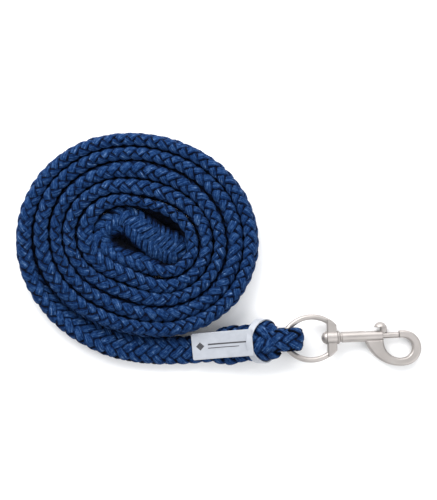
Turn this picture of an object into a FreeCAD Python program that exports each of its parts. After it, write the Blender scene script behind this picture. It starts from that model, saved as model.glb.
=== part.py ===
"""A lead rope: a flat hollow-braided rope wound into a loose coil, with an eye splice, a label strap
and a swivel bolt snap. Millimetres. The origin is on the surface under the pole of the coil, +Z is up
and the rope's tail leaves the coil towards +X."""
import FreeCAD, Part
import math
import os

V = FreeCAD.Vector
X_AXIS, Y_AXIS, Z_AXIS = V(1, 0, 0), V(0, 1, 0), V(0, 0, 1)

# The rope: a braid flattened to an oval.
ROPE_WIDTH = 20.7
ROPE_THICK = 11.5

# The coil: the rope stands on its edge, turn beside turn. Each wall between two turns is one long spiral.
SPIRAL_START = 11.9        # radius before any turn is wound
SPIRAL_PITCH = 11.37       # growth of the radius per turn
SPIRAL_SHIFT_X = (3.64, -0.27)   # inner turns lie off centre; each pair is value, change per turn
SPIRAL_SHIFT_Y = (5.08, -0.47)
SPIRAL_OVAL = (6.18, -0.08)
SPIRAL_LEAN = (-4.71, 0.37)
COIL_TURNS = 6.75          # turns wound by the outer wall when the tail leaves the coil
TWIST_TURNS = (6.42, 6.83)   # between these the rope twists from its edge to lie flat
OUTLINE_ARCS = 24          # arcs that round the coil's outline
OUTLINE_START = 0.045      # turns past the tail's end at which the outline starts

# The tail: hand-set points, from the coil to the splice.
TAIL_POINTS = [(23.0, -80.0), (38.0, -79.6), (52.5, -77.9)]
RUN_SHARE = 0.45           # how much of the shorter run an arc may take

# The eye splice: x, y, half width, half height and height of the centre of each section.
SPLICE_SECTIONS = [
    (52.5, -77.9, ROPE_WIDTH / 2, ROPE_THICK / 2, ROPE_THICK / 2),
    (66.0, -76.2, 15.2, 7.5, 7.6),
    (78.0, -74.4, 13.5, 8.2, 9.4),
    (88.0, -73.0, 14.2, 9.4, 11.1),
    (96.0, -72.1, 14.8, 9.8, 11.4),
    (102.1, -71.9, 12.5, 9.4, 11.4),
]

# Where the rope holds the swivel eye, and how the snap lies from there.
BAR = V(107.1, -71.7, 11.4)
SNAP_YAW = 2.2             # degrees the snap points away from +X
SNAP_PITCH = 4.8           # degrees it slopes down, so that the hook's far end rests on the surface
EYE_HALF_WIDTH = 8.5
EYE_OUTER = 11.3
EYE_REACH = 14.3           # from the bar to the outside of the fold
EYE_LEFT = -5.0
EYE_GAP = 0.3              # between the fold and the swivel eye
EYE_FILLET = 3.5
EYE_STEP = (1.9, 2.4)      # length and height cut off the fold's lower edge, clear of the collar

# The label strap: a tab that lies on the rope and rises to a slanted collar round the splice.
STRAP_WIDTH = 19.6
STRAP_THICK = 1.2
# Along the tab, and the height of its underside.
STRAP_LINE = [(0.0, 11.7), (21.0, 13.8), (33.0, 17.8), (44.0, 21.4)]
STRAP_START = V(39.4, -77.2, 0)   # the middle of its free end
STRAP_YAW = 5.2
COLLAR_INNER = (15.2, 10.0)
COLLAR_CENTRE = V(91.0, -72.7, 11.3)
COLLAR_BAND = 6.4          # width of the collar's band, along the rope
COLLAR_LEAN = 40.0         # degrees the collar's top leans back over the tab
COLLAR_REACH = 22.0        # half length of the tube that the collar is cut from
COLLAR_SLAB = (15.0, 30.0)   # half height and half width of the slanted slab that cuts it

# The swivel eye, in the snap's own frame: x from the rope's bar along the swivel, y across, z through.
WIRE_R = 2.05
RING_CENTRE_X = 20.2
RING_HALF_HEIGHT = 15.8
RING_END_R = 11.5
PLATE_START = 31.8
PLATE_END = 38.7
PLATE_HALF_Z = 3.4
PLATE_FILLET = 1.0
RING_INTO_PLATE = 1.5      # how far the ring's wire runs into the plate
BOSS_R = 5.2
BOSS_PROUD = 0.2           # how far the boss stands out of the plate, each side
SWIVEL_GAP = 0.3           # play along the swivel, each side of the boss
SWIVEL_CLEARANCE = 0.08

# The swivel rivet.
SHANK_R = 2.4
RIVET_HEAD_R = 4.8
RIVET_HEAD_HEIGHT = 3.8
SHANK_END = 47.0

# The snap's body.
COLLAR_R = 4.9
NECK_R = 3.5
COLLAR_LENGTH = 1.0        # then the collar narrows to the neck
NECK_FROM = 2.2            # from the collar's face
TURNED_EDGE = 0.3          # the small chamfer on turned edges
BARREL_START = 42.2
BARREL_END = 72.7
BARREL_R = (4.0, 4.1)
BORE_R = 2.25
SLOT_START = 58.9
SLOT_WIDTH = 4.0
HOOK_THICK = 6.0
HOOK_EDGE = 1.8
HOOK_OUTER = (88.3, -9.7, 13.0)   # x, y and radius of the hook's round end, outside
HOOK_INNER = (87.2, -9.5, 7.4)    # the same inside
HOOK_OUTER_BIG_R = 27.75
HOOK_INNER_BIG_R = 12.8
HOOK_OUTER_TURN = 8.5             # degrees from straight down where the round end meets the long arc
HOOK_INNER_TURN = 11.0
HOOK_ROOT_Y = -2.6
TIP_X = 85.3

# The bolt, its spring and its thumb knob.
BOLT_R = 2.2
BOLT_START = 64.7
BOLT_GAP = 0.3
SPRING_MEAN_R = 1.75
SPRING_WIRE_R = 0.24
SPRING_TURNS = 9
SPRING_CHORDS = 8          # straight lengths of wire in each turn
SPRING_PLAY = 0.05         # between the spring's ends and what they push on
KNOB_X = 73.8
KNOB_PIN_R = 1.4
KNOB_PIN_DEPTH = 1.2       # past the bolt's axis
STEM_LENGTH_X = 5.0
STEM_WIDTH_Z = 3.4
STEM_FILLET = 1.3
STEM_FOOT_Y = 2.3
HEAD_CENTRE_X = 71.55
HEAD_R = 4.75
HEAD_FOOT_Y = 6.3
HEAD_HEIGHT = 3.8
HEAD_FILLET = 0.4

FAR = 40.0                 # reaches past any piece of the snap
TINY = 0.01                # tells a flat edge or an edge at a given place
MITRED = 1                 # how a swept section turns at a corner of its path


def save(name, shape):
    shape.exportStep("parts/" + name + ".step")
    box = shape.BoundBox
    print(f"{name}: valid {shape.isValid()}, solids {len(shape.Solids)}, volume {shape.Volume:.0f} mm3,"
          f" z {box.ZMin:.2f} to {box.ZMax:.2f}")


def arc(centre, radius, start, end):
    """An arc in the XY plane from one angle to another, in degrees."""
    def at(angle):
        return V(centre[0] + radius * math.cos(math.radians(angle)),
                 centre[1] + radius * math.sin(math.radians(angle)), 0)
    return Part.Arc(at(start), at((start + end) / 2), at(end)).toShape()


def line(start, end):
    return Part.LineSegment(start, end).toShape()


def polygon(points):
    return Part.makePolygon(points + [points[0]])


def placed_snap(shape):
    """From the snap's own frame to the part's: sloped down about the bar, then turned about Z."""
    out = shape.copy()
    out.rotate(V(0, 0, 0), Y_AXIS, SNAP_PITCH)
    out.rotate(V(0, 0, 0), Z_AXIS, SNAP_YAW)
    out.translate(BAR)
    return out


def placed_eye(shape):
    """The rope's fold is level: it is only turned about Z."""
    out = shape.copy()
    out.rotate(V(0, 0, 0), Z_AXIS, SNAP_YAW)
    out.translate(BAR)
    return out


# ---- the rope ----

def wall_radius(turns):
    """Radius of the spiral wall between two turns of the coil, by how many turns it has wound."""
    angle = 2 * math.pi * turns

    def term(pair):
        return pair[0] + pair[1] * turns
    start, end = TWIST_TURNS
    twist = min(max((turns - start) / (end - start), 0), 1)
    laid_flat = (ROPE_WIDTH - ROPE_THICK) * twist ** 2 * (3 - 2 * twist)
    return (SPIRAL_START + SPIRAL_PITCH * turns + laid_flat
            + term(SPIRAL_SHIFT_X) * math.cos(angle) + term(SPIRAL_SHIFT_Y) * math.sin(angle)
            + term(SPIRAL_OVAL) * math.cos(2 * angle) + term(SPIRAL_LEAN) * math.sin(2 * angle))


def wall_point(turns):
    angle = 2 * math.pi * turns
    radius = wall_radius(turns)
    return V(radius * math.cos(angle), radius * math.sin(angle), 0)


def rope_coil():
    """The coil's outer shape: its last turn's outside, closed by the end where the tail leaves it."""
    first = COIL_TURNS - 1 + OUTLINE_START
    steps = 2 * OUTLINE_ARCS
    points = [wall_point(first + (COIL_TURNS - first) * i / steps) for i in range(steps + 1)]
    edges = [Part.Arc(points[i], points[i + 1], points[i + 2]).toShape() for i in range(0, steps, 2)]
    tail_x, tail_y = TAIL_POINTS[0]
    low = V(tail_x, tail_y - ROPE_WIDTH / 2, 0)
    high = V(tail_x, points[0].y, 0)
    edges.append(line(points[-1], low))
    edges.append(line(low, high))
    edges.append(line(high, points[0]))
    face = Part.Face(Part.Wire(edges))
    return face.extrude(V(0, 0, ROPE_WIDTH))


def rounded_path(points):
    """Straight runs joined by tangent arcs, each as large as its two runs allow."""
    edges = []
    last = points[0]
    for before, corner, after in zip(points, points[1:], points[2:]):
        into = (corner - before).normalize()
        out = (after - corner).normalize()
        turn = into.getAngle(out)
        shorter = min((corner - before).Length, (after - corner).Length)
        cut = RUN_SHARE * shorter
        radius = cut / math.tan(turn / 2)
        start, end = corner - into * cut, corner + out * cut
        middle_dir = (out - into).normalize()
        middle = corner + middle_dir * (radius / math.cos(turn / 2) - radius)
        edges.append(line(last, start))
        edges.append(Part.Arc(start, middle, end).toShape())
        print(f"tail bend radius {radius:.0f} mm")
        last = end
    edges.append(line(last, points[-1]))
    return Part.Wire(edges)


def oval(centre, half_width, half_height, yaw=0.0):
    """An upright oval wire across the rope, facing along X when yaw is 0."""
    edge = Part.Ellipse(V(0, 0, 0), half_width, half_height).toShape()
    wire = Part.Wire(edge)
    wire.rotate(V(0, 0, 0), X_AXIS, 90)
    wire.rotate(V(0, 0, 0), Z_AXIS, 90 + yaw)
    wire.translate(centre)
    return wire


def rope_tail():
    points = [V(x, y, ROPE_THICK / 2) for x, y in TAIL_POINTS]
    path = rounded_path(points)
    section = oval(points[0], ROPE_WIDTH / 2, ROPE_THICK / 2)
    tube = path.makePipeShell([section], True, False)
    expected = path.Length * math.pi * ROPE_WIDTH * ROPE_THICK / 4
    print(f"tail volume {tube.Volume:.0f} of {expected:.0f} mm3")
    return tube


def rope_splice():
    wires = [oval(V(x, y, z), width, height) for x, y, width, height, z in SPLICE_SECTIONS[:-1]]
    x, y, width, height, z = SPLICE_SECTIONS[-1]
    wires.append(oval(V(x, y, z), width, height, SNAP_YAW))
    return Part.makeLoft(wires, True, True)


def swing_room():
    """The space that the swivel eye's curved end needs as it swings in the fold: round about the bar,
    and wider away from the middle, as the inside of the ring is."""
    reach = EYE_HALF_WIDTH + TINY
    bend = RING_END_R - WIRE_R - EYE_GAP
    side = RING_END_R - math.sqrt(bend ** 2 - reach ** 2)
    rim = Part.Arc(V(side, -reach, 0), V(WIRE_R + EYE_GAP, 0, 0), V(side, reach, 0)).toShape()
    wire = Part.Wire([line(V(0, -reach, 0), V(side, -reach, 0)), rim,
                      line(V(side, reach, 0), V(0, reach, 0)), line(V(0, reach, 0), V(0, -reach, 0))])
    return Part.Face(wire).revolve(V(0, 0, 0), Y_AXIS, 360)


def rope_eye():
    """The fold that holds the bar: two legs one above the other and a round end between them."""
    centre_x = EYE_REACH - EYE_OUTER
    top, low = V(centre_x, 0, EYE_OUTER), V(centre_x, 0, -EYE_OUTER)
    step_length, step_height = EYE_STEP
    foot, heel = V(EYE_LEFT + step_length, 0, -EYE_OUTER), V(EYE_LEFT, 0, step_height - EYE_OUTER)
    rear = V(EYE_LEFT, 0, EYE_OUTER)
    wire = Part.Wire([
        line(foot, low),
        Part.Arc(low, V(EYE_REACH, 0, 0), top).toShape(),
        line(top, rear),
        line(rear, heel),
        line(heel, foot),
    ])
    fold = Part.Face(wire).extrude(V(0, 2 * EYE_HALF_WIDTH, 0))
    fold.translate(V(0, -EYE_HALF_WIDTH, 0))
    outline = [e for e in fold.Edges if abs(abs(e.CenterOfMass.y) - EYE_HALF_WIDTH) < TINY
               and e.CenterOfMass.x > EYE_LEFT + TINY]
    fold = fold.makeFillet(EYE_FILLET, outline)
    return placed_eye(fold.cut(swing_room()))


# ---- the label strap ----

def strap_tab():
    """The tab: its side view, from the free end to the collar, drawn across the rope."""
    under = [V(x, 0, z) for x, z in STRAP_LINE]
    over = [V(x, 0, z + STRAP_THICK) for x, z in reversed(STRAP_LINE)]
    tab = Part.Face(polygon(under + over)).extrude(V(0, STRAP_WIDTH, 0))
    tab.translate(V(0, -STRAP_WIDTH / 2, 0))
    corners = [e for e in tab.Edges if e.BoundBox.XLength < TINY and e.BoundBox.YLength < TINY
               and e.CenterOfMass.x < TINY]
    tab = tab.makeFillet(STRAP_THICK, corners)
    tab.rotate(V(0, 0, 0), Z_AXIS, STRAP_YAW)
    tab.translate(STRAP_START)
    return tab


def collar_tube(grow):
    """A long oval tube round the splice, a given distance outside the collar's inner face."""
    inner_y, inner_z = COLLAR_INNER
    face = Part.Face(oval(COLLAR_CENTRE - V(COLLAR_REACH, 0, 0), inner_y + grow, inner_z + grow))
    return face.extrude(V(2 * COLLAR_REACH, 0, 0))


def label_strap():
    """The tab and the slanted slice of oval tube that is its collar."""
    slant = math.tan(math.radians(COLLAR_LEAN))
    half = COLLAR_BAND / 2
    high, side = COLLAR_SLAB
    shift = high * slant
    slab = Part.Face(polygon([V(-half - shift, -side, high), V(half - shift, -side, high),
                              V(half + shift, -side, -high), V(-half + shift, -side, -high)]))
    slab = slab.extrude(V(0, 2 * side, 0))
    slab.translate(COLLAR_CENTRE)
    inside = collar_tube(0)
    collar = collar_tube(STRAP_THICK).cut(inside).common(slab)
    return strap_tab().cut(inside.common(slab)).fuse(collar).removeSplitter()


# ---- the swivel eye and its rivet ----

def ring_arcs():
    """The radius of the ring's long arcs, and the angle where its round ends meet them."""
    end_offset = RING_CENTRE_X - RING_END_R
    taller = RING_HALF_HEIGHT - RING_END_R
    long_r = (end_offset ** 2 + RING_HALF_HEIGHT ** 2 - RING_END_R ** 2) / (2 * taller)
    return long_r, math.degrees(math.atan2(long_r - RING_HALF_HEIGHT, end_offset))


def oval_edges(grow):
    """The ring's whole outline, grown by a distance, as four tangent arcs about its centre."""
    long_r, meet = ring_arcs()
    end_offset = RING_CENTRE_X - RING_END_R
    drop = long_r - RING_HALF_HEIGHT
    end_r, big_r = RING_END_R + grow, long_r + grow
    x = RING_CENTRE_X
    return [arc((x + end_offset, 0), end_r, -meet, meet),
            arc((x, -drop), big_r, meet, 180 - meet),
            arc((x - end_offset, 0), end_r, 180 - meet, 180 + meet),
            arc((x, drop), big_r, 180 + meet, 360 - meet)]


def swivel_eye():
    long_r, meet = ring_arcs()
    drop = long_r - RING_HALF_HEIGHT
    x = RING_CENTRE_X
    inside_plate = PLATE_START + RING_INTO_PLATE - x
    stop = math.degrees(math.acos(inside_plate / long_r))
    wire = Part.Wire([
        arc((x, -drop), long_r, stop, 180 - meet),
        arc((x - (RING_CENTRE_X - RING_END_R), 0), RING_END_R, 180 - meet, 180 + meet),
        arc((x, drop), long_r, 180 + meet, 360 - stop),
    ])
    start = V(x + long_r * math.cos(math.radians(stop)), -drop + long_r * math.sin(math.radians(stop)), 0)
    along = V(-math.sin(math.radians(stop)), math.cos(math.radians(stop)), 0)
    section = Part.Wire(Part.Circle(start, along, WIRE_R).toShape())
    ring = wire.makePipeShell([section], True, False)
    face = Part.Face(Part.Wire(oval_edges(WIRE_R)))
    plate = face.extrude(V(0, 0, 2 * PLATE_HALF_Z))
    plate.translate(V(0, 0, -PLATE_HALF_Z))
    window = Part.makeBox(PLATE_END - PLATE_START, 2 * FAR, 2 * FAR, V(PLATE_START, -FAR, -FAR))
    plate = plate.common(window)
    plate = plate.makeFillet(PLATE_FILLET, plate.Edges)
    boss_start = V(PLATE_START - BOSS_PROUD, 0, 0)
    boss = Part.makeCylinder(BOSS_R, PLATE_END - PLATE_START + 2 * BOSS_PROUD, boss_start, X_AXIS)
    bore = Part.makeCylinder(SHANK_R + SWIVEL_CLEARANCE, FAR, V(RING_CENTRE_X, 0, 0), X_AXIS)
    return placed_snap(ring.fuse([plate, boss]).removeSplitter().cut(bore))


def dome(height, radius):
    """A ball's cap as a solid on the YZ plane, swelling towards -X."""
    ball_r = (radius ** 2 + height ** 2) / (2 * height)
    ball = Part.makeSphere(ball_r, V(ball_r - height, 0, 0))
    return ball.common(Part.makeBox(2 * height, FAR, FAR, V(-2 * height, -FAR / 2, -FAR / 2)))


def swivel_rivet():
    seat = PLATE_START - BOSS_PROUD - SWIVEL_GAP
    head = dome(RIVET_HEAD_HEIGHT, RIVET_HEAD_R)
    head.translate(V(seat, 0, 0))
    shank = Part.makeCylinder(SHANK_R, SHANK_END - seat, V(seat, 0, 0), X_AXIS)
    return placed_snap(head.fuse(shank))


# ---- the snap's body ----

def barrel():
    """The turned outside of the barrel, with its collar and neck, about the X axis."""
    start = PLATE_END + BOSS_PROUD + SWIVEL_GAP
    rear_r, front_r = BARREL_R
    edge = TURNED_EDGE
    profile = [
        V(start, 0, 0), V(start, COLLAR_R - edge, 0), V(start + edge, COLLAR_R, 0),
        V(start + COLLAR_LENGTH, COLLAR_R, 0), V(start + NECK_FROM, NECK_R, 0),
        V(BARREL_START, NECK_R, 0), V(BARREL_START + rear_r - NECK_R, rear_r, 0),
        V(BARREL_END - edge, front_r, 0), V(BARREL_END, front_r - edge, 0), V(BARREL_END, 0, 0),
    ]
    return Part.Face(polygon(profile)).revolve(V(0, 0, 0), X_AXIS, 360)


def hook():
    """The hook: a wide leg from under the barrel, drawn in to a round end and back to the tip."""
    out_x, out_y, out_r = HOOK_OUTER
    in_x, in_y, in_r = HOOK_INNER
    out_turn, in_turn = math.radians(HOOK_OUTER_TURN), math.radians(HOOK_INNER_TURN)
    far_out, far_in = HOOK_OUTER_BIG_R - out_r, HOOK_INNER_BIG_R - in_r
    big_out = (out_x - far_out * math.sin(out_turn), out_y + far_out * math.cos(out_turn))
    big_in = (in_x - far_in * math.sin(in_turn), in_y + far_in * math.cos(in_turn))
    root_out = 180 + math.degrees(math.asin((big_out[1] - HOOK_ROOT_Y) / HOOK_OUTER_BIG_R))
    root_in = 180 - math.degrees(math.asin((HOOK_ROOT_Y - big_in[1]) / HOOK_INNER_BIG_R))
    outer = [arc(big_out, HOOK_OUTER_BIG_R, root_out, 270 + HOOK_OUTER_TURN),
             arc((out_x, out_y), out_r, -90 + HOOK_OUTER_TURN, 90)]
    inner = [arc((in_x, in_y), in_r, 90, -90 + HOOK_INNER_TURN),
             arc(big_in, HOOK_INNER_BIG_R, 270 + HOOK_INNER_TURN, root_in)]
    top, low = V(out_x, out_y + out_r, 0), V(in_x, in_y + in_r, 0)
    tip_top, tip_low = V(TIP_X, top.y, 0), V(TIP_X, low.y, 0)
    root_start = outer[0].Vertexes[0].Point
    root_end = inner[1].Vertexes[-1].Point
    tip = [line(top, tip_top), line(tip_top, tip_low), line(tip_low, low)]
    wire = Part.Wire(outer + tip + inner + [line(root_end, root_start)])
    body = Part.Face(wire).extrude(V(0, 0, HOOK_THICK))
    body.translate(V(0, 0, -HOOK_THICK / 2))
    rims = [e for e in body.Edges if e.BoundBox.ZLength < TINY
            and not HOOK_ROOT_Y + 0.5 < e.CenterOfMass.y < 3.0]
    return body.makeFillet(HOOK_EDGE, rims)


def snap_body():
    solid = barrel().fuse(hook())
    rear = Part.makeCylinder(SHANK_R, SHANK_END - RING_CENTRE_X, V(RING_CENTRE_X, 0, 0), X_AXIS)
    bore = Part.makeCylinder(BORE_R, BARREL_END - SHANK_END + TINY, V(SHANK_END, 0, 0), X_AXIS)
    half = SLOT_WIDTH / 2
    depth = COLLAR_R
    start = SLOT_START + half
    slot = Part.makeBox(BARREL_END + TINY - start, depth, SLOT_WIDTH, V(start, 0, -half))
    slot_end = Part.makeCylinder(half, depth, V(start, 0, 0), Y_AXIS)
    return placed_snap(solid.removeSplitter().cut([rear, bore, slot, slot_end]))


# ---- the bolt ----

def bolt_pin():
    end = TIP_X - BOLT_GAP
    pin = Part.makeCylinder(BOLT_R, end - BOLT_START, V(BOLT_START, 0, 0), X_AXIS)
    rims = [e for e in pin.Edges if e.BoundBox.XLength < TINY]
    pin = pin.makeChamfer(TURNED_EDGE, rims)
    hole = Part.makeCylinder(KNOB_PIN_R, FAR, V(KNOB_X, -KNOB_PIN_DEPTH, 0), Y_AXIS)
    return placed_snap(pin.cut(hole))


def thumb_knob():
    pin_length = STEM_FOOT_Y + KNOB_PIN_DEPTH
    pin = Part.makeCylinder(KNOB_PIN_R, pin_length, V(KNOB_X, -KNOB_PIN_DEPTH, 0), Y_AXIS)
    stem = Part.makeBox(STEM_LENGTH_X, HEAD_FOOT_Y - STEM_FOOT_Y + 0.5, STEM_WIDTH_Z,
                        V(KNOB_X - STEM_LENGTH_X / 2, STEM_FOOT_Y, -STEM_WIDTH_Z / 2))
    uprights = [e for e in stem.Edges if e.BoundBox.YLength > TINY]
    stem = stem.makeFillet(STEM_FILLET, uprights)
    head = dome(HEAD_HEIGHT, HEAD_R)
    head.rotate(V(0, 0, 0), Z_AXIS, -90)
    head.translate(V(HEAD_CENTRE_X, HEAD_FOOT_Y, 0))
    foot = [e for e in head.Edges if e.BoundBox.YLength < TINY and e.BoundBox.XLength > TINY]
    head = head.makeFillet(HEAD_FILLET, foot)
    return placed_snap(pin.fuse([stem, head]).removeSplitter())


def bolt_spring():
    """A coil spring in one piece: its wire winds round in short straight lengths, mitred together."""
    start = SHANK_END + SPRING_WIRE_R + SPRING_PLAY
    length = BOLT_START - SPRING_WIRE_R - SPRING_PLAY - start
    chords = SPRING_TURNS * SPRING_CHORDS
    points = []
    for step in range(chords + 1):
        angle = 2 * math.pi * step / SPRING_CHORDS
        points.append(V(start + length * step / chords, SPRING_MEAN_R * math.cos(angle),
                        SPRING_MEAN_R * math.sin(angle)))
    path = Part.Wire([line(one, two) for one, two in zip(points, points[1:])])
    section = Part.Wire(Part.Circle(points[0], points[1] - points[0], SPRING_WIRE_R).toShape())
    return placed_snap(path.makePipeShell([section], True, False, MITRED))


NODES = {
    "rope_coil": rope_coil,
    "rope_tail": rope_tail,
    "rope_splice": rope_splice,
    "rope_eye": rope_eye,
    "label_strap": label_strap,
    "swivel_eye": swivel_eye,
    "swivel_rivet": swivel_rivet,
    "snap_body": snap_body,
    "bolt_pin": bolt_pin,
    "thumb_knob": thumb_knob,
    "bolt_spring": bolt_spring,
}

os.makedirs("parts", exist_ok=True)
for node, make in NODES.items():
    save(node, make())
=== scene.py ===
"""The looks of a lead rope: a twelve-strand hollow braid wound into a coil, its eye splice, a label strap
and a swivel bolt snap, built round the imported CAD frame. Metres, in the frame's own axes."""
import math

import bpy
import numpy as np
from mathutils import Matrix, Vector


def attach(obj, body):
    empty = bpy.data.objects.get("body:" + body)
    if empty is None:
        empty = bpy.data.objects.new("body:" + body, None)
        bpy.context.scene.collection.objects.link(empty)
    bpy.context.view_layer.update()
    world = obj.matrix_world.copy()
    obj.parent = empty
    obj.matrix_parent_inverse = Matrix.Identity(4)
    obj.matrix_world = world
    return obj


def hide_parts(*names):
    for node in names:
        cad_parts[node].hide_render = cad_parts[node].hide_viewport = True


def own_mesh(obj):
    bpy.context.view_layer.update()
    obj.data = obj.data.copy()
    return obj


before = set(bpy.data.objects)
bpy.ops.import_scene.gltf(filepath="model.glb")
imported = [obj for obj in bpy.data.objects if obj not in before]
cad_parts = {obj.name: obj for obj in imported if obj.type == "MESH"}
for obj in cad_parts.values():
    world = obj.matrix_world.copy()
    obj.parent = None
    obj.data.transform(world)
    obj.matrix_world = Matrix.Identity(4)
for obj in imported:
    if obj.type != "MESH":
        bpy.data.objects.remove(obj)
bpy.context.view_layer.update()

# ---- driving dimensions, in metres ----

# The rope: a braid flattened to an oval.
ROPE_WIDTH = 0.0207
ROPE_THICK = 0.0115
LAY = 0.052                # the rope's length in which a strand goes once round it
SPLICE_LAY = 0.050         # where the splice swells the braid

# The coil: each wall between two turns is one long spiral, as in the CAD model.
SPIRAL_START = 0.0119
SPIRAL_PITCH = 0.01137
SPIRAL_SHIFT_X = (0.00364, -0.00027)
SPIRAL_SHIFT_Y = (0.00508, -0.00047)
SPIRAL_OVAL = (0.00618, -0.00008)
SPIRAL_LEAN = (-0.00471, 0.00037)
COIL_TURNS = 6.75
FIRST_TURN = 1.0           # the winding starts here, outside the folded inner end
TWIST_TURNS = (6.42, 6.83)
# How far a wall wanders off the even spiral, at each quarter turn from FIRST_TURN.
WALL_WANDER = [0.0024, 0.0014, -0.0010, 0.0002, 0.0014, -0.0022, 0.0026, 0.0007, 0.0007, -0.0002, 0.0007,
               0.0002, -0.0007, 0.0021, -0.0016, 0.0001, 0.0009, 0.0019, -0.0006, -0.0003, 0.0010, 0.0009,
               0.0001, 0.0]
POINTS_PER_TURN = 24
TURN_OVERLAP = 0.0012      # soft turns press into each other
EASED_ROLL = 30            # rolled this far off its edge, the rope is no longer squeezed
LAST_TURN_EASE = 0.2       # the part of a turn over which the outermost one comes free

# The tail and the splice, from just short of the swivel eye back to the coil: x, y, half width, half height.
BAR = Vector((0.1071, -0.0717, 0.0114))
SPLICE_POINTS = [
    (0.1019, -0.0721, 0.0100, 0.0078),
    (0.0998, -0.0724, 0.0142, 0.0095),
    (0.0955, -0.0725, 0.0149, 0.0098),
    (0.0880, -0.0730, 0.0142, 0.0094),
    (0.0780, -0.0744, 0.0135, 0.0082),
    (0.0660, -0.0762, 0.0148, 0.0075),
]
SPLICE_HEIGHTS = [0.0114, 0.0114, 0.0114, 0.0111, 0.0094, 0.0076]
TAIL_POINTS = [(0.0525, -0.0779), (0.0380, -0.0796), (0.0230, -0.0800)]

# The folded inner end: x, y, half width, half thickness, the roll of the rope's flat face in degrees
# (90 stands on edge, 0 lies flat) and lay, from the coil's first turn in to the rope's end.
INNER_POINTS = [
    (0.0385, -0.0130, 0.01035, 0.0056, 86, 0.050),
    (0.0238, -0.0222, 0.01035, 0.0054, 80, 0.048),
    (0.0102, -0.0171, 0.01035, 0.0062, 64, 0.046),
    (0.0002, -0.0141, 0.01035, 0.0066, 58, 0.044),
    (-0.0104, -0.0105, 0.01035, 0.0066, 60, 0.042),
    (-0.0248, -0.0034, 0.01035, 0.0064, 60, 0.038),
    (-0.0278, 0.0072, 0.01035, 0.0072, 34, 0.040),
    (-0.0112, 0.0180, 0.01080, 0.0084, 6, 0.038),
    (-0.0030, 0.0126, 0.01220, 0.0090, 0, 0.034),
    (0.0040, 0.0070, 0.01320, 0.0094, 0, 0.030),
    (0.0144, -0.0004, 0.01340, 0.0094, 0, 0.024),
    (0.0245, -0.0048, 0.01390, 0.0090, 0, 0.020),
    (0.0311, -0.0082, 0.01240, 0.0076, 0, 0.026),
    (0.0340, -0.0100, 0.00660, 0.0048, 0, 0.022),
]
# The turn beside the folded end leans outward: between which turns, and by how many degrees.
LEAN_TURNS = (1.00, 1.30)
LEAN = 20
LEAN_HOLD = 0.7            # how far its upper edge keeps its place as it leans
# Where two lengths of rope press together low down, closing the gap between them: x, y, the gap's
# heading in degrees, its half length, how far to each side it is felt, and how far the rope moves.
PINCHES = [
    (-0.0090, -0.0005, -28, 0.0190, 0.0150, 0.0100),
    (0.0205, 0.0112, -37, 0.0260, 0.0150, 0.0100),
]
PINCH_HEIGHT = 0.0110      # where the pull starts
PINCH_FADE = 1.3           # how fast it fades towards the gap's ends
PINCH_SHADE = 0.0175       # where painted shade starts to darken the braid, low down and out of the light
# The same painted shade between two turns that stand on edge: the heights where it starts and is full,
# how far into the outermost turn it reaches, and the rolls between which a turn comes to count as on edge.
GAP_SHADE = (0.0178, 0.0128)
GAP_REACH = 0.0020
GAP_ROLLS = (55, 70)

# The fold round the swivel eye's bar, from above the bar round to below it, in the snap's own frame:
# x, height, half width, half thickness.
SNAP_YAW = 2.2
FOLD_POINTS = [
    (-0.0125, 0.0048, 0.0080, 0.0036),
    (-0.0060, 0.0064, 0.0086, 0.0043),
    (0.0010, 0.0071, 0.0088, 0.0044),
    (0.0072, 0.0068, 0.0088, 0.0046),
    (0.0100, 0.0032, 0.0087, 0.0048),
    (0.0100, -0.0032, 0.0087, 0.0048),
    (0.0072, -0.0068, 0.0088, 0.0046),
    (0.0010, -0.0071, 0.0088, 0.0044),
    (-0.0060, -0.0064, 0.0086, 0.0043),
    (-0.0125, -0.0048, 0.0080, 0.0036),
]
EYE_LAY = 0.056
FOLD_REACH = 0.0085        # the fold lies within this distance of its middle line

# The room that the swivel eye's curved end needs as it swings about its bar.
RING_END_R = 0.0115
RING_WIRE_R = 0.00205
RING_PLAY = 0.0003
RING_AT = 0.0089           # farther along the bar, the rope stops short of the ring

# The braid.
STRANDS_EACH_WAY = 6
STRAND_HALF_THICK = 0.0021
STRAND_FILL = 0.57         # a strand's half width, as a share of the space between two
RUCKED = 3.0               # how many times more unruly the strands are where the braid is pushed together
DIVE_SHARE = 1.7           # how much deeper a strand lies under than over, in its own half thicknesses
SECTION_POWER = 2.25       # 2 is an ellipse, more is squarer
STRAND_POWER = 2.35
LIFT_SHARPNESS = 1.1       # how squarely a strand goes from over to under
UNDER_NARROWED = 0.12      # how much narrower a strand is at mid height than on top
WANDER = 0.012             # how far a strand strays round the rope, as a share of its girth
DEPTH_WANDER = 0.0004      # how far a strand's depth varies
THICK_WANDER = 0.14        # how much its thickness varies, as a share of itself
WIDTH_WANDER = 0.10        # the same for its width
ROOM_POWER = 1.3           # how fast the room to dive is lost as the braid is pushed together
THICK_RANGE = (0.6, 1.15)  # the least and most that a strand's thickness follows the rope's
SQUEEZE_RANGE = (0.22, 1.6)   # the same for the lay inside and outside a bend
LOWEST = 0.0003            # no strand comes nearer to the floor
SHOWN_FROM = 0.03          # the sine round a strand where the painted shade on its sides starts to lift
SHOWN_OVER = 0.75          # and the rise in that sine over which the painted shade fades out
LIFT_SHOWN = 1.6           # a strand's painted shade is gone this far above its lowest
PINCH_DARKENS = 2.5        # how fast the painted shade darkens the braid into a pinch
BAKE_ROW = 0.014           # a strand's bake rows are the square root of its length over this
FIBRE_SCALE = (20, 25, 1)   # noise per 0.1 m along a strand, and round it
RING_STEP = 0.0010
RING_SIDES = 12
SPLINE_RESOLUTION = 32

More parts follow.
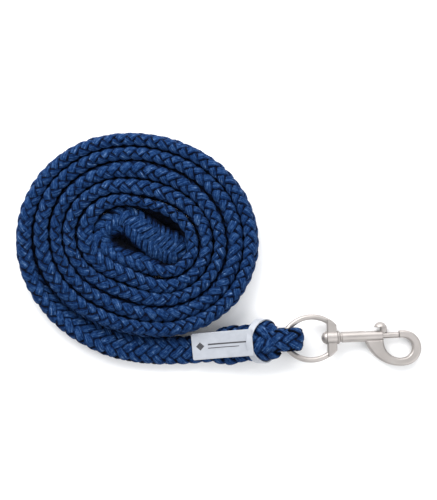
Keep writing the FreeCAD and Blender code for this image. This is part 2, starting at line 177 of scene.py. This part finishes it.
# The label strap: a tab that rises to a slanted collar round the splice, as in the CAD model.
STRAP_WIDTH = 0.0196
STRAP_THICK = 0.0012
STRAP_LENGTH = 0.0445
STRAP_START = np.array((0.0394, -0.0772, 0.0))
STRAP_YAW = 5.2
STRAP_LINE = ((0.0, 0.0210, 0.0330, 0.0440), (0.0117, 0.0138, 0.0178, 0.0214))
COLLAR_CENTRE = np.array((0.0910, -0.0727, 0.0113))
COLLAR_INNER = (0.0152, 0.0100)
COLLAR_BAND = 0.0064
COLLAR_LEAN = 40
COLLAR_NARROWED = 0.0011   # how much narrower, each side, its band is on top
LABEL_POWER = 7
LABEL_SIDES = 40

# The print on the tab, along it from its free end: a lozenge, and two plain lines with their start, end,
# distance from the tab's middle line and half width.
PRINT_HALF_THICK = 0.00012
LOZENGE = (0.0030, 0.0090)
RULES = [(0.0118, 0.0400, 0.0009, 0.00055), (0.0118, 0.0345, -0.0018, 0.00030)]

# The view from straight above, and the floor.
VIEW_HEIGHT = 0.370
CAMERA_DISTANCE = 1.5
VIEW_CENTRE = (0.0588, -0.0059)
SENSOR = 0.036
FLOOR_SIZE = 4.0

TINY = 0.00005             # half the least width of a printed point
Z_AXIS = np.array((0.0, 0.0, 1.0))


# ---- materials ----

def new_material(name):
    """A material with its nodes, its links and its main shader."""
    material = bpy.data.materials.new(name)
    material.use_nodes = True
    nodes = material.node_tree.nodes
    return material, nodes, material.node_tree.links, nodes["Principled BSDF"]


def ramp(nodes, stops):
    """A colour ramp with (position, colour) stops."""
    node = nodes.new("ShaderNodeValToRGB")
    elements = node.color_ramp.elements
    while len(elements) < len(stops):
        elements.new(0.5)
    for element, (position, colour) in zip(elements, stops):
        element.position = position
        element.color = (*colour, 1)
    return node


def weighted_sum(nodes, links, terms):
    """The sum of some outputs, each times its weight."""
    total = None
    for output, weight in terms:
        scaled = nodes.new("ShaderNodeMath")
        scaled.operation = "MULTIPLY_ADD"
        links.new(output, scaled.inputs[0])
        scaled.inputs[1].default_value = weight
        scaled.inputs[2].default_value = 0
        if total is not None:
            links.new(total, scaled.inputs[2])
        total = scaled.outputs[0]
    return total


def noise(nodes, links, place, scale, detail, low, high):
    """Noise at a place, stretched so that it spans 0 to 1 between two of its own values."""
    texture = nodes.new("ShaderNodeTexNoise")
    texture.inputs["Scale"].default_value = scale
    texture.inputs["Detail"].default_value = detail
    texture.inputs["Roughness"].default_value = 0.6
    links.new(place, texture.inputs["Vector"])
    stretched = nodes.new("ShaderNodeMapRange")
    stretched.inputs["From Min"].default_value = low
    stretched.inputs["From Max"].default_value = high
    links.new(texture.outputs["Fac"], stretched.inputs["Value"])
    return stretched.outputs["Result"]


def rope_material():
    """Soft multifilament strands: fine fibres along each strand; painted shade darkens their sides, dives,
    pinches and the gaps between turns, leaving their tops lighter as if lit.
    """
    material, nodes, links, shader = new_material("rope_braid")
    along = nodes.new("ShaderNodeUVMap")
    along.uv_map = "strand"
    fibre_map = nodes.new("ShaderNodeMapping")
    fibre_map.inputs["Scale"].default_value = FIBRE_SCALE
    links.new(along.outputs["UV"], fibre_map.inputs["Vector"])
    fibres = noise(nodes, links, fibre_map.outputs["Vector"], 1, 3, 0.38, 0.64)
    place = nodes.new("ShaderNodeTexCoord")
    blotches = noise(nodes, links, place.outputs["Object"], 420, 3, 0.36, 0.66)
    # The painted light and shade set in strand_mesh: darker on the strands' sides, dives, pinches and
    # between turns, lighter on their outward tops.
    painted_light = nodes.new("ShaderNodeAttribute")
    painted_light.attribute_name = "painted_light"
    tone = weighted_sum(nodes, links, [(painted_light.outputs["Fac"], 0.56), (fibres, 0.26), (blotches, 0.18)])
    # Low tones are the painted shade, near black; high tones are the lit tops. Fibres and blotches vary the
    # tone at random.
    colours = ramp(nodes, [(0.20, (0.0, 0.0001, 0.0006)), (0.48, (0.0001, 0.0022, 0.0145)),
                           (0.72, (0.0044, 0.0245, 0.0930)), (0.90, (0.0260, 0.0700, 0.1800)),
                           (1.00, (0.1250, 0.2000, 0.3450))])
    links.new(tone, colours.inputs["Fac"])
    links.new(colours.outputs["Color"], shader.inputs["Base Color"])

    bump = nodes.new("ShaderNodeBump")
    bump.inputs["Strength"].default_value = 1.0
    bump.inputs["Distance"].default_value = 0.0004
    links.new(fibres, bump.inputs["Height"])
    links.new(bump.outputs["Normal"], shader.inputs["Normal"])
    shader.inputs["Roughness"].default_value = 0.75
    shader.inputs["Specular IOR Level"].default_value = 0.05
    shader.inputs["Sheen Weight"].default_value = 0.02
    shader.inputs["Sheen Roughness"].default_value = 0.5
    shader.inputs["Sheen Tint"].default_value = (0.45, 0.60, 1.0, 1)
    return material


def label_material():
    """Satin moulded rubber, faintly uneven."""
    material, nodes, links, shader = new_material("label_rubber")
    place = nodes.new("ShaderNodeTexCoord")
    tone = noise(nodes, links, place.outputs["Object"], 160, 3, 0.3, 0.7)
    colours = ramp(nodes, [(0.0, (0.335, 0.352, 0.390)), (1.0, (0.390, 0.408, 0.446))])
    links.new(tone, colours.inputs["Fac"])
    links.new(colours.outputs["Color"], shader.inputs["Base Color"])
    shader.inputs["Roughness"].default_value = 0.42
    return material


def print_material():
    """Dark print, a little worn."""
    material, nodes, links, shader = new_material("label_print")
    place = nodes.new("ShaderNodeTexCoord")
    tone = noise(nodes, links, place.outputs["Object"], 900, 2, 0.3, 0.7)
    colours = ramp(nodes, [(0.0, (0.020, 0.020, 0.024)), (1.0, (0.060, 0.060, 0.068))])
    links.new(tone, colours.inputs["Fac"])
    links.new(colours.outputs["Color"], shader.inputs["Base Color"])
    shader.inputs["Roughness"].default_value = 0.6
    return material


def metal_material(name, dark, light, roughness):
    """Satin plated metal: a soft cast grain and slightly uneven tone."""
    material, nodes, links, shader = new_material(name)
    place = nodes.new("ShaderNodeTexCoord")
    grain = nodes.new("ShaderNodeTexNoise")
    grain.inputs["Scale"].default_value = 900
    grain.inputs["Detail"].default_value = 3
    links.new(place.outputs["Object"], grain.inputs["Vector"])
    tone = nodes.new("ShaderNodeTexNoise")
    tone.inputs["Scale"].default_value = 60
    tone.inputs["Detail"].default_value = 3
    links.new(place.outputs["Object"], tone.inputs["Vector"])
    colours = ramp(nodes, [(0.35, dark), (0.65, light)])
    links.new(tone.outputs["Fac"], colours.inputs["Fac"])
    links.new(colours.outputs["Color"], shader.inputs["Base Color"])
    rough = nodes.new("ShaderNodeMapRange")
    rough.inputs["To Min"].default_value = roughness - 0.06
    rough.inputs["To Max"].default_value = roughness + 0.10
    links.new(tone.outputs["Fac"], rough.inputs["Value"])
    links.new(rough.outputs["Result"], shader.inputs["Roughness"])
    bump = nodes.new("ShaderNodeBump")
    bump.inputs["Strength"].default_value = 0.30
    bump.inputs["Distance"].default_value = 0.0001
    links.new(grain.outputs["Fac"], bump.inputs["Height"])
    links.new(bump.outputs["Normal"], shader.inputs["Normal"])
    shader.inputs["Metallic"].default_value = 1
    return material


# ---- the rope's route ----

def wall_radius(turns):
    """Radius of the wall between two turns of the coil, by how many turns it has wound."""
    angle = 2 * math.pi * turns

    def term(pair):
        return pair[0] + pair[1] * turns
    start, end = TWIST_TURNS
    laid_flat = (ROPE_WIDTH - ROPE_THICK) * ease((turns - start) / (end - start))
    quarters = FIRST_TURN + np.arange(len(WALL_WANDER)) / 4
    return (SPIRAL_START + SPIRAL_PITCH * turns + laid_flat
            + term(SPIRAL_SHIFT_X) * math.cos(angle) + term(SPIRAL_SHIFT_Y) * math.sin(angle)
            + term(SPIRAL_OVAL) * math.cos(2 * angle) + term(SPIRAL_LEAN) * math.sin(2 * angle)
            + float(np.interp(turns, quarters, WALL_WANDER)))


def resting_height(half_width, half_thick, roll):
    """The height of the rope's middle where it rests on the surface."""
    roll = math.radians(roll)
    return math.hypot(half_width * math.sin(roll), half_thick * math.cos(roll))


def coil_points():
    """The coil's turns from the outside in: x, y, half width, half thickness, roll."""
    last = COIL_TURNS - 1
    count = round((last - FIRST_TURN) * POINTS_PER_TURN)
    outward = 1 / math.cos(math.pi / POINTS_PER_TURN)   # the spline cuts inside its points
    points = []
    for step in range(count + 1):
        turns = last - step / POINTS_PER_TURN
        inner, outer = wall_radius(turns), wall_radius(turns + 1)
        radius = (inner + outer) / 2 * outward
        angle = 2 * math.pi * turns
        start, end = (limit - 1 for limit in TWIST_TURNS)
        roll = 90 * (1 - ease((turns - start) / (end - start)))
        squeezed = (outer - inner + TURN_OVERLAP) / 2
        half_thick = squeezed + (ROPE_THICK / 2 - squeezed) * min(1, (90 - roll) / EASED_ROLL)
        lean_start, lean_end = LEAN_TURNS
        lean = math.sin(math.pi * min(max((turns - lean_start) / (lean_end - lean_start), 0), 1))
        radius -= LEAN_HOLD * ROPE_WIDTH / 2 * math.sin(math.radians(LEAN * lean))
        unpressed = ease((turns - last + 1 + LAST_TURN_EASE) / LAST_TURN_EASE)
        radius -= TURN_OVERLAP / 2 * unpressed   # nothing presses on the last turn from outside
        points.append((radius * math.cos(angle), radius * math.sin(angle), ROPE_WIDTH / 2, half_thick,
                       roll - LEAN * lean))
    return points


def rope_route():
    """Every control point of the rope, from the swivel eye to its inner end: the places, and at each the
    half width, half thickness, roll in degrees and lay."""
    places, sections = [], []
    for (x, y, half_width, half_height), z in zip(SPLICE_POINTS, SPLICE_HEIGHTS):
        places.append((x, y, z))
        sections.append((half_width, half_height, 0, SPLICE_LAY))
    for x, y in TAIL_POINTS:
        places.append((x, y, ROPE_THICK / 2))
        sections.append((ROPE_WIDTH / 2, ROPE_THICK / 2, 0, LAY))
    for x, y, half_width, half_thick, roll in coil_points():
        places.append((x, y, resting_height(half_width, half_thick, roll)))
        sections.append((half_width, half_thick, roll, LAY))
    for x, y, half_width, half_thick, roll, lay in INNER_POINTS:
        places.append((x, y, resting_height(half_width, half_thick, roll)))
        sections.append((half_width, half_thick, roll, lay))
    return places, np.array(sections, float)


def spline_line(name, places):
    """Points read from the NURBS spline that has these places as its control points."""
    curve = bpy.data.curves.new(name, "CURVE")
    curve.dimensions = "3D"
    curve.resolution_u = SPLINE_RESOLUTION
    spline = curve.splines.new("NURBS")
    spline.points.add(len(places) - 1)
    for point, place in zip(spline.points, places):
        point.co = (*place, 1)
    spline.order_u = 3
    spline.use_endpoint_u = True
    holder = bpy.data.objects.new(name, curve)
    mesh = bpy.data.meshes.new_from_object(holder)
    line = np.array([vertex.co for vertex in mesh.vertices], float)
    bpy.data.objects.remove(holder)
    bpy.data.meshes.remove(mesh)
    bpy.data.curves.remove(curve)
    return line


def even_rings(line, sections):
    """The line at even steps along it, with the sections of its control points carried over."""
    along = np.concatenate([[0], np.cumsum(np.linalg.norm(np.diff(line, axis=0), axis=1))])
    spans = len(sections) - 2
    control_at = np.clip(np.arange(len(sections)) - 0.5, 0, spans)
    line_at = np.linspace(0, spans, len(line))
    count = round(along[-1] / RING_STEP) + 1
    at = np.linspace(0, along[-1], count)
    middle = np.stack([np.interp(at, along, line[:, k]) for k in range(3)], axis=1)
    ring_at = np.interp(at, along, line_at)
    carried = np.stack([np.interp(ring_at, control_at, column) for column in sections.T], axis=1)
    return at, middle, carried


def unit(vectors):
    """The vectors at length 1."""
    return vectors / np.linalg.norm(vectors, axis=-1, keepdims=True)


# ---- strands ----

def outline_table():
    """For the rope's plain section: the angle of the outline at even steps round it."""
    angles = np.linspace(0, 2 * math.pi, 721)
    x, y = outline(angles, ROPE_WIDTH / 2, ROPE_THICK / 2)
    length = np.concatenate([[0], np.cumsum(np.hypot(np.diff(x), np.diff(y)))])
    return length / length[-1], angles


def outline(angles, half_width, half_thick):
    """A point of the section's outline, between an ellipse and a rounded bar."""
    power = 2 / SECTION_POWER
    cos, sin = np.cos(angles), np.sin(angles)
    wide = half_width * np.sign(cos) * np.abs(cos) ** power
    thick = half_thick * np.sign(sin) * np.abs(sin) ** power
    return wide, thick


def outline_normal(angles, half_width, half_thick):
    """The outward direction at a point of the section's outline."""
    power = 2 - 2 / SECTION_POWER
    cos, sin = np.cos(angles), np.sin(angles)
    x = np.sign(cos) * np.abs(cos) ** power / half_width
    y = np.sign(sin) * np.abs(sin) ** power / half_thick
    size = np.hypot(x, y)
    return x / size, y / size


def slow_noise(random, at, wavelengths, size):
    """A smooth wander along the rope."""
    total = np.zeros_like(at)
    for wavelength in wavelengths:
        total += np.sin(2 * math.pi * (at / wavelength + random.random())) / len(wavelengths)
    return size * total


def swept(centre, across, out, half_width, half_thick, power, sides):
    """Rings of points of a rounded bar's outline at each place along a line."""
    around = 2 * math.pi * np.arange(sides) / sides
    wide = np.sign(np.cos(around)) * np.abs(np.cos(around)) ** (2 / power)
    high = np.sign(np.sin(around)) * np.abs(np.sin(around)) ** (2 / power)
    return (centre[:, None] + across[:, None] * (half_width[:, None] * wide)[..., None]
            + out[:, None] * (half_thick[:, None] * high)[..., None])


def tube_mesh(name, points, closed=False):
    """A smooth skin over rings of points, its ends capped unless it closes on itself."""
    rings, sides = points.shape[:2]
    ring, side = np.meshgrid(np.arange(rings if closed else rings - 1), np.arange(sides), indexing="ij")
    this_ring, next_ring = ring * sides, (ring + 1) % rings * sides
    next_side = (side + 1) % sides
    corners = [this_ring + side, this_ring + next_side, next_ring + next_side, next_ring + side]
    quads = np.stack(corners, axis=-1).reshape(-1, 4)
    first_cap = list(range(sides))[::-1]
    last_cap = list(range((rings - 1) * sides, rings * sides))
    caps = [] if closed else [first_cap, last_cap]
    mesh = bpy.data.meshes.new(name)
    mesh.from_pydata(points.reshape(-1, 3).tolist(), [], quads.tolist() + caps)
    mesh.polygons.foreach_set("use_smooth", np.ones(len(mesh.polygons), bool))
    return mesh


def ease(share):
    """A smooth step from 0 to 1 as the share goes from 0 to 1."""
    share = np.clip(share, 0, 1)
    return share ** 2 * (3 - 2 * share)


def pinched(points):
    """The points, drawn together low down along each pinch; and how deep in one each point lies, which sets
    the painted shade there.
    """
    deepest = np.zeros(points.shape[:2])
    for x, y, heading, half_length, reach, pull in PINCHES:
        heading = math.radians(heading)
        along = np.array((math.cos(heading), math.sin(heading)))
        across = np.array((-math.sin(heading), math.cos(heading)))
        offset = points[..., :2] - (x, y)
        aside = offset @ across
        lengthwise = ease(PINCH_FADE - PINCH_FADE * np.abs(offset @ along) / half_length)
        felt = lengthwise * ease(1 - np.abs(aside) / reach)
        depth = np.clip(1 - points[..., 2] / PINCH_HEIGHT, 0, 1)
        move = -np.sign(aside) * np.minimum(np.abs(aside), pull * felt * depth)
        points[..., :2] += move[..., None] * across
        # The depth in a pinch, for its painted shade.
        deepest = np.maximum(deepest, felt * np.clip(1 - points[..., 2] / PINCH_SHADE, 0, 1))
    return points, deepest


def between_turns(points):
    """How deep between two coil turns each point lies, for painted shade: 0 on top and outside it, 1 well
    down.
    """
    last = sum(TWIST_TURNS) / 2 - 1   # beyond this the rope no longer stands on edge
    turns = np.linspace(last - 1, last, POINTS_PER_TURN, endpoint=False)
    walls = [wall_radius(turn) for turn in turns]
    heading = np.arctan2(points[..., 1], points[..., 0]) / (2 * math.pi)
    wall = np.interp(heading, turns, walls, period=1)
    start, full = GAP_SHADE
    inside = ease((wall + GAP_REACH - np.hypot(points[..., 0], points[..., 1])) / GAP_REACH)
    return inside * ease((start - points[..., 2]) / (start - full))


def snap_axes():
    """The snap's own level directions: along it, and along the swivel eye's bar."""
    yaw = math.radians(SNAP_YAW)
    return np.array((math.cos(yaw), math.sin(yaw), 0)), np.array((-math.sin(yaw), math.cos(yaw), 0))


def clear_of_ring(points):
    """The points, pressed out of the trumpet-shaped room about the bar that the swivel eye swings in."""
    forward, aside = snap_axes()
    offset = points - np.array(BAR)
    x, y, z = offset @ forward, offset @ aside, offset[..., 2]
    bend = RING_END_R - RING_WIRE_R - RING_PLAY
    room = RING_END_R - np.sqrt(np.maximum(bend ** 2 - y ** 2, 0))
    apart = np.maximum(np.hypot(x, z), 0.0001)
    push = np.where(np.abs(y) < RING_AT, np.maximum(room / apart, 1), 1)
    return points + ((push - 1) * x)[..., None] * forward + ((push - 1) * z)[..., None] * Z_AXIS


def within_fold(points):
    """The fold's points, brought in to its width."""
    aside = snap_axes()[1]
    y = (points - np.array(BAR)) @ aside
    return points + (np.clip(y, -FOLD_REACH, FOLD_REACH) - y)[..., None] * aside


def strand_mesh(name, centre, out, half_width, half_thick, along, lift, on_edge, within=None):
    """A soft strand swept along its centre, with the painted light and shade of each part of it."""
    forward = unit(np.gradient(centre, axis=0))
    out = unit(out - (out * forward).sum(1, keepdims=True) * forward)
    points = swept(centre, np.cross(forward, out), out, half_width, half_thick, STRAND_POWER, RING_SIDES)
    if within is not None:
        points = within(points)
    points, deepest = pinched(clear_of_ring(points))
    points[..., 2] = np.maximum(points[..., 2], LOWEST)
    mesh = tube_mesh(name, points)
    strand_uv(mesh, along)
    # Painted shade: the strand's sides, its dives under others, the pinches and the low gaps between upright
    # turns are darkened; its outward top is left light.
    around = 2 * math.pi * np.arange(RING_SIDES) / RING_SIDES
    facing = np.clip((np.sin(around) - SHOWN_FROM) / SHOWN_OVER, 0, 1)
    shown = np.clip((lift[:, None] + 1) / LIFT_SHOWN, 0, 1) * facing
    shown = shown * (1 - ease(PINCH_DARKENS * deepest))
    shown = shown * (1 - on_edge[:, None] * between_turns(points))
    attribute = mesh.attributes.new("painted_light", "FLOAT", "POINT")
    attribute.data.foreach_set("value", shown.ravel().astype(np.float32))
    mesh.update()
    return mesh


def strand_uv(mesh, along):
    """Metres along the strand times ten, and turns round it; and rows of the strand side by side to bake."""
    ring, side = np.meshgrid(np.arange(len(along) - 1), np.arange(RING_SIDES), indexing="ij")
    ring, side = ring.reshape(-1, 1), side.reshape(-1, 1)
    corner_ring = ring + np.array([0, 0, 1, 1])
    v = (side + np.array([0, 1, 1, 0])) / RING_SIDES
    rows = max(1, round(math.sqrt(along[-1] / BAKE_ROW)))
    rings_per_row = math.ceil((len(along) - 1) / rows)
    row = ring // rings_per_row
    row_u = (corner_ring - row * rings_per_row) / rings_per_row
    row_v = (row + 0.03 + 0.94 * v) / rows
    caps = np.zeros((2 * RING_SIDES, 2))
    for layer_name, u, v in (("strand", along[corner_ring] * 10, v), ("OFBake", row_u, row_v)):
        layer = mesh.uv_layers.new(name=layer_name)
        layer.data.foreach_set("uv", np.concatenate([np.stack([u, v], -1).reshape(-1, 2), caps]).ravel())
    mesh.uv_layers["OFBake"].active = False


def braid(name, at, middle, wide_axis, thin_axis, sections, drift, seed, within=None):
    """Twelve strands round a rope: six wind each way, each over two and under two of the others."""
    half_width, half_thick, lay = sections[:, 0], sections[:, 1], sections[:, 3]
    forward = unit(np.gradient(middle, axis=0))
    step = at[1] - at[0]
    wide_turn = (np.gradient(wide_axis, step, axis=0) * forward).sum(1)
    thin_turn = (np.gradient(thin_axis, step, axis=0) * forward).sum(1)
    wound = np.concatenate([[0], np.cumsum(step / ((lay[1:] + lay[:-1]) / 2))])
    shares, angles = outline_table()
    random = np.random.default_rng(seed)
    girth = 2 * math.pi * np.sqrt((half_width ** 2 + half_thick ** 2) / 2)
    loose = np.minimum(lay / LAY, 1) ** ROOM_POWER   # pushed together, strands have no room to dive
    unruly = 1 + RUCKED * (1 - loose)
    flat, upright = GAP_ROLLS
    on_edge = ease((sections[:, 2] - flat) / (upright - flat))
    strands = []
    for way in (1, -1):
        for number in range(STRANDS_EACH_WAY):
            share = way * wound + number / STRANDS_EACH_WAY
            column = share * 2 * STRANDS_EACH_WAY
            wave = np.cos(2 * math.pi * (column - 0.5) / 4) * way
            lift = np.tanh(LIFT_SHARPNESS * wave) / math.tanh(LIFT_SHARPNESS)
            astray = slow_noise(random, at, (0.019, 0.047, 0.11), WANDER) * unruly
            angle = np.interp((share + drift + astray) % 1, shares, angles)
            x, y = outline(angle, half_width, half_thick)
            nx, ny = outline_normal(angle, half_width, half_thick)
            thick = STRAND_HALF_THICK * np.clip(half_thick / (ROPE_THICK / 2), *THICK_RANGE)
            thick = thick * (1 + slow_noise(random, at, (0.015, 0.033, 0.08), THICK_WANDER))
            deep = thick * (1 + DIVE_SHARE * loose * (1 - lift) / 2)
            deep = deep + slow_noise(random, at, (0.021, 0.034, 0.055), DEPTH_WANDER) * unruly
            x, y = x - nx * deep, y - ny * deep
            squeeze = np.clip(1 + x * wide_turn + y * thin_turn, *SQUEEZE_RANGE)
            axial = lay * squeeze
            space = axial / STRANDS_EACH_WAY * girth / np.hypot(girth, axial)
            uneven = slow_noise(random, at, (0.017, 0.04, 0.09), WIDTH_WANDER)
            strand_width = space * STRAND_FILL * (1 + uneven)
            strand_width = strand_width * (1 - UNDER_NARROWED * (1 - lift))
            centre = middle + wide_axis * x[:, None] + thin_axis * y[:, None]
            out = wide_axis * nx[:, None] + thin_axis * ny[:, None]
            along = np.concatenate([[0], np.cumsum(np.linalg.norm(np.diff(centre, axis=0), axis=1))])
            mesh_name = f"{name}_strand_{len(strands) + 1:02d}"
            # The lift that sets the painted shade of a strand's dives, shaded less where the braid is pushed
            # together.
            shown_lift = 1 - (1 - lift) * loose
            mesh = strand_mesh(mesh_name, centre, out, strand_width, thick,
                               along, shown_lift, on_edge, within)
            piece = bpy.data.objects.new(mesh_name, mesh)
            bpy.context.scene.collection.objects.link(piece)
            strands.append(piece)
    return strands


def make_rope(material):
    """The rope's twelve strands, from the splice to the inner end, and the line they follow."""
    places, sections = rope_route()
    line = spline_line("rope_route", places)
    at, middle, carried = even_rings(line, sections)
    forward = unit(np.gradient(middle, axis=0))
    level = unit(np.cross(Z_AXIS, forward))
    roll = np.radians(carried[:, 2])[:, None]
    wide_axis = np.cos(roll) * level + np.sin(roll) * np.cross(forward, level)
    thin_axis = np.cross(forward, wide_axis)
    random = np.random.default_rng(7)
    drift = slow_noise(random, at, (0.31, 0.53, 0.9), 0.07) + 0.5 / 12
    strands = braid("rope", at, middle, wide_axis, thin_axis, carried, drift, 11)
    for strand in strands:
        strand.data.materials.append(material)
        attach(strand, "rope")
    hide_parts("rope_coil", "rope_tail", "rope_splice")
    return strands, middle


def make_fold(material):
    """The rope's fold round the swivel eye's bar, one leg over it and one under."""
    along_snap, across = snap_axes()
    places = [np.array(BAR) + along_snap * x + Z_AXIS * height for x, height, *size in FOLD_POINTS]
    sections = np.array([(*size, 0, EYE_LAY) for x, height, *size in FOLD_POINTS])
    line = spline_line("fold_route", places)
    at, middle, carried = even_rings(line, sections)
    forward = unit(np.gradient(middle, axis=0))
    wide_axis = np.tile(across, (len(middle), 1))
    thin_axis = np.cross(forward, wide_axis)
    strands = braid("fold", at, middle, wide_axis, thin_axis, carried, np.zeros(len(at)), 5, within_fold)
    fold = join(strands, "rope_fold")
    fold.data.materials.append(material)
    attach(fold, "rope")
    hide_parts("rope_eye")
    return fold


def strap_place(along, aside=0.0, above=0.0):
    """A place on the tab's upper side, from its free end along it and from its middle line aside."""
    yaw = math.radians(STRAP_YAW)
    smooth = 0.003
    heights = [np.interp(along + shift, *STRAP_LINE) for shift in (-smooth, 0, smooth)]
    height = sum(heights) / 3 + STRAP_THICK + above
    x = STRAP_START[0] + along * math.cos(yaw) - aside * math.sin(yaw)
    y = STRAP_START[1] + along * math.sin(yaw) + aside * math.cos(yaw)
    return np.stack(np.broadcast_arrays(x, y, height), axis=-1)


def strap_ribbon(name, along, aside, half_width, half_thick, above, power, sides):
    """A flat ribbon that follows the tab's upper side, its middle at a height above it."""
    centre = strap_place(along, aside, above)
    forward = unit(np.gradient(centre, axis=0))
    level = unit(np.cross(Z_AXIS, forward))
    up = np.cross(forward, level)
    half_width = np.broadcast_to(half_width, along.shape)
    half_thick = np.broadcast_to(half_thick, along.shape)
    return tube_mesh(name, swept(centre, -level, up, half_width, half_thick, power, sides))


def tab_mesh():
    """The tab, with its corners rounded."""
    along = np.concatenate([np.linspace(0, STRAP_THICK, 7), np.linspace(0.002, STRAP_LENGTH, 60)])
    cut_back = STRAP_THICK - np.sqrt(STRAP_THICK ** 2 - np.clip(STRAP_THICK - along, 0, None) ** 2)
    half_width = STRAP_WIDTH / 2 - cut_back
    return strap_ribbon("tab", along, 0 * along, half_width, STRAP_THICK / 2, -STRAP_THICK / 2, LABEL_POWER,
                        LABEL_SIDES)


def collar_mesh():
    """The slanted oval band round the splice."""
    angles = np.linspace(0, 2 * math.pi, 96, endpoint=False)
    half_y, half_z = (inner + STRAP_THICK / 2 for inner in COLLAR_INNER)
    y, z = half_y * np.cos(angles), half_z * np.sin(angles)
    narrowed = COLLAR_NARROWED * np.clip(np.sin(angles), 0, 1) ** 2
    centre = COLLAR_CENTRE + np.stack([-z * math.tan(math.radians(COLLAR_LEAN)) - narrowed, y, z], axis=1)
    out = unit(np.stack([0 * y, y / half_y ** 2, z / half_z ** 2], axis=1))
    across = np.tile((1.0, 0.0, 0.0), (len(angles), 1))
    half_thick = np.full(len(angles), STRAP_THICK / 2)
    points = swept(centre, across, out, COLLAR_BAND / 2 - narrowed, half_thick, LABEL_POWER, LABEL_SIDES)
    return tube_mesh("collar", points[::-1], closed=True)


def lozenge_mesh():
    """A plain diamond, lengthwise on the tab."""
    start, end = LOZENGE
    along = np.linspace(start, end, 31)
    half_width = (end - start) / 2 - np.abs(along - (start + end) / 2) + TINY
    return strap_ribbon("lozenge", along, 0 * along, half_width, PRINT_HALF_THICK, 0, 4, 12)


def rule_mesh(start, end, aside, half_width):
    """A plain line along the tab."""
    along = np.linspace(start, end, 50)
    return strap_ribbon("rule", along, aside + 0 * along, half_width, PRINT_HALF_THICK, 0, 4, 12)


def piece_of(mesh, name, material):
    """A piece made of a mesh, riding with the rope."""
    piece = bpy.data.objects.new(name, mesh)
    bpy.context.scene.collection.objects.link(piece)
    piece.data.materials.append(material)
    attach(piece, "rope")
    return piece


def make_label():
    """The strap, which replaces the plain CAD solid, and the print on it."""
    rubber, ink = label_material(), print_material()
    tab = piece_of(tab_mesh(), "label_tab", rubber)
    collar = piece_of(collar_mesh(), "label_collar", rubber)
    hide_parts("label_strap")
    lozenge = piece_of(lozenge_mesh(), "label_lozenge", ink)
    rules = [piece_of(rule_mesh(*rule), f"label_rule_{number}", ink)
             for number, rule in enumerate(RULES, 1)]
    return [tab, collar, lozenge, *rules]


def join(pieces, name):
    """The pieces as one."""
    bpy.ops.object.select_all(action="DESELECT")
    for piece in pieces:
        piece.select_set(True)
    bpy.context.view_layer.objects.active = pieces[0]
    bpy.ops.object.join()
    pieces[0].name = name
    return pieces[0]


# ---- the camera, the floor and the lights ----

def make_camera():
    """Straight down on the rope, with X across the view."""
    data = bpy.data.cameras.new("camera")
    data.sensor_width = SENSOR * 1000
    data.lens = SENSOR * 1000 * CAMERA_DISTANCE / VIEW_HEIGHT
    camera = bpy.data.objects.new("camera", data)
    camera.location = (*VIEW_CENTRE, CAMERA_DISTANCE)
    bpy.context.scene.collection.objects.link(camera)
    bpy.context.scene.camera = camera


def make_floor():
    """A plain pale floor under the rope."""
    bpy.ops.mesh.primitive_plane_add(size=FLOOR_SIZE, location=(*VIEW_CENTRE, 0))
    floor = bpy.context.object
    floor.name = "floor"
    material, _, _, shader = new_material("floor_pale")
    shader.inputs["Base Color"].default_value = (0.97, 0.97, 0.97, 1)
    shader.inputs["Roughness"].default_value = 0.9
    floor.data.materials.append(material)


def area_light(name, place, size, energy):
    """A square white light that shines at the middle of the view."""
    data = bpy.data.lights.new(name, "AREA")
    data.size = size
    data.energy = energy
    light = bpy.data.objects.new(name, data)
    light.location = place
    aim = Vector((*VIEW_CENTRE, 0)) - Vector(place)
    light.rotation_euler = aim.to_track_quat("-Z", "Y").to_euler()
    bpy.context.scene.collection.objects.link(light)


def make_lights():
    """A soft key and a back light from above the coil, a fill from the snap's side, and an even sky."""
    area_light("key", (-0.32, 0.52, 0.55), 0.6, 8.5)
    area_light("fill", (0.9, -0.7, 1.0), 1.4, 12)
    area_light("back", (0.4, 1.3, 0.9), 1.2, 13)
    world = bpy.data.worlds.new("studio")
    world.use_nodes = True
    world.node_tree.nodes["Background"].inputs["Color"].default_value = (0.95, 0.97, 1.0, 1)
    world.node_tree.nodes["Background"].inputs["Strength"].default_value = 0.66
    bpy.context.scene.world = world


bpy.context.scene.view_settings.view_transform = "Standard"
make_camera()
make_floor()
make_lights()
braid_material = rope_material()
rope_strands, rope_middle = make_rope(braid_material)
rope_fold = make_fold(braid_material)
label_pieces = make_label()

nickel = metal_material("satin_nickel", (0.385, 0.358, 0.340), (0.450, 0.418, 0.400), 0.46)
spring_steel = metal_material("spring_steel", (0.30, 0.30, 0.31), (0.38, 0.38, 0.39), 0.30)
metals = {node: nickel for node in ("swivel_eye", "swivel_rivet", "snap_body", "bolt_pin", "thumb_knob")}
metals["bolt_spring"] = spring_steel
for node, metal in metals.items():
    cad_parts[node].data.materials.clear()
    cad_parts[node].data.materials.append(metal)

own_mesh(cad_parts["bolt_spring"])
